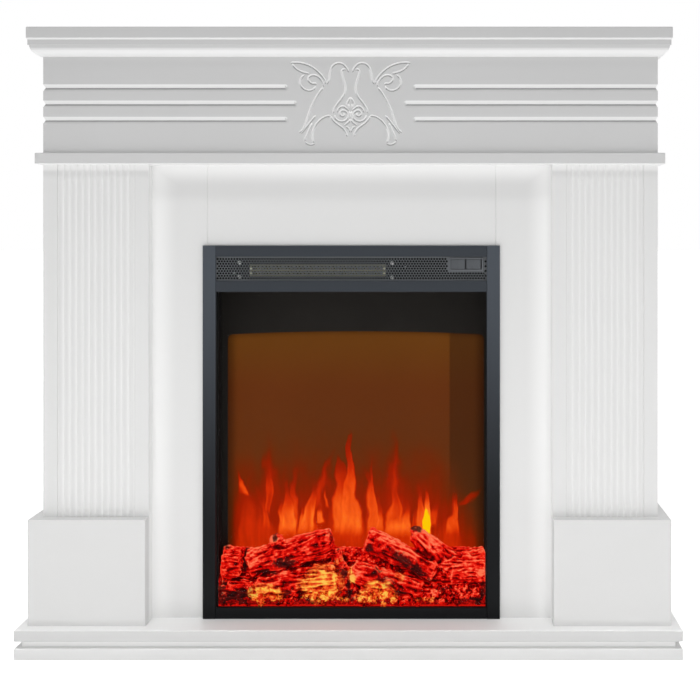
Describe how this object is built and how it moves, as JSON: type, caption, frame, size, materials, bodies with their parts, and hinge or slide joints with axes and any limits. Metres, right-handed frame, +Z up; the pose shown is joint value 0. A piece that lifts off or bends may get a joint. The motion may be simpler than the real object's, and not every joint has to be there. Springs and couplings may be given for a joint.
{
  "type": "electric fireplace",
  "caption": "Free-standing electric fireplace: white panelled mantel with reeded pilasters round a black insert with grille, glass, log bed and lit flame screen.",
  "frame": {"origin": "on the floor at the middle of the base slab", "axes": "+X along the width to the right, +Y to the back, +Z up; the front faces -Y"},
  "size_m": [1.05, 0.28, 0.997],
  "materials": {
    "white_board": "satin white paint on fibreboard",
    "trim_steel": "satin black powder coat",
    "black_sheet": "matt black paint",
    "clear_glass": "clear tempered glass",
    "zinc_steel": "bright zinc plate",
    "black_rubber": "matt",
    "ember_resin": "translucent resin",
    "log_resin": "painted resin",
    "circuit_board": "solder mask",
    "mask_black": "matt black",
    "screen_acrylic": "tinted acrylic",
    "white_plastic": "matt",
    "element_ceramic": "ceramic and foil",
    "wheel_aluminium": "pressed",
    "switch_plastic": "satin"
  },
  "bodies": {
    "fireplace": {"base_slab_lower": "white_board", "base_spacer": "white_board", "base_slab_upper": "white_board", "plinth_front_left": "white_board", "plinth_front_right": "white_board", "plinth_side_left": "white_board", "plinth_side_right": "white_board", "pilaster_left": "white_board", "pilaster_right": "white_board", "side_panel_left": "white_board", "side_panel_right": "white_board", "surround_left": "white_board", "surround_right": "white_board", "surround_top": "white_board", "lower_shelf": "white_board", "frieze_front": "white_board", "frieze_side_left": "white_board", "frieze_side_right": "white_board", "crown_front": "white_board", "crown_left": "white_board", "crown_right": "white_board", "top_shelf": "white_board", "stretcher_lower": "white_board", "stretcher_upper": "white_board", "trim_stile_left": "trim_steel", "trim_stile_right": "trim_steel", "trim_rail_top": "trim_steel", "trim_rail_middle": "trim_steel", "trim_rail_bottom": "trim_steel", "insert_faceplate": "black_sheet", "grille": "trim_steel", "front_glass": "clear_glass", "glass_retainers": "black_sheet", "case_side_left": "black_sheet", "case_side_right": "black_sheet", "case_floor": "black_sheet", "case_top": "black_sheet", "case_divider": "black_sheet", "rear_cover": "black_sheet", "cover_screws": "zinc_steel", "cord_gland": "black_rubber", "mounting_brackets": "zinc_steel", "bracket_screws": "zinc_steel", "ember_bed": "ember_resin", "log_set": "log_resin", "ember_lamp_board": "circuit_board", "screen_mask": "mask_black", "flame_screen": "screen_acrylic", "flame_stencil": "black_sheet", "flame_lamp_board": "circuit_board", "rotor_motor": "zinc_steel", "rotor_bearing": "white_plastic", "heater_duct": "zinc_steel", "heating_element": "element_ceramic", "blower_motor": "zinc_steel", "control_bezel": "switch_plastic"},
    "flame_rotor": {"flame_rotor": "zinc_steel"},
    "blower_wheel": {"blower_wheel": "wheel_aluminium"},
    "rocker_flame": {"rocker_flame": "switch_plastic"},
    "rocker_heat": {"rocker_heat": "switch_plastic"}
  },
  "joints": [
    {"name": "flame_rotor_spin", "type": "hinge", "parent": "fireplace", "child": "flame_rotor", "pos_m": [0, 0.0268, 0.14], "axis": [1, 0, 0], "continuous": true},
    {"name": "blower_spin", "type": "hinge", "parent": "fireplace", "child": "blower_wheel", "pos_m": [-0.057, -0.015, 0.6117], "axis": [1, 0, 0], "continuous": true},
    {"name": "rocker_flame_turn", "type": "hinge", "parent": "fireplace", "child": "rocker_flame", "pos_m": [0.17275, -0.0787, 0.6195], "axis": [0, 0, 1], "range_deg": [0, 10]},
    {"name": "rocker_heat_turn", "type": "hinge", "parent": "fireplace", "child": "rocker_heat", "pos_m": [0.19825, -0.0787, 0.6195], "axis": [0, 0, 1], "range_deg": [0, 10]}
  ]
}
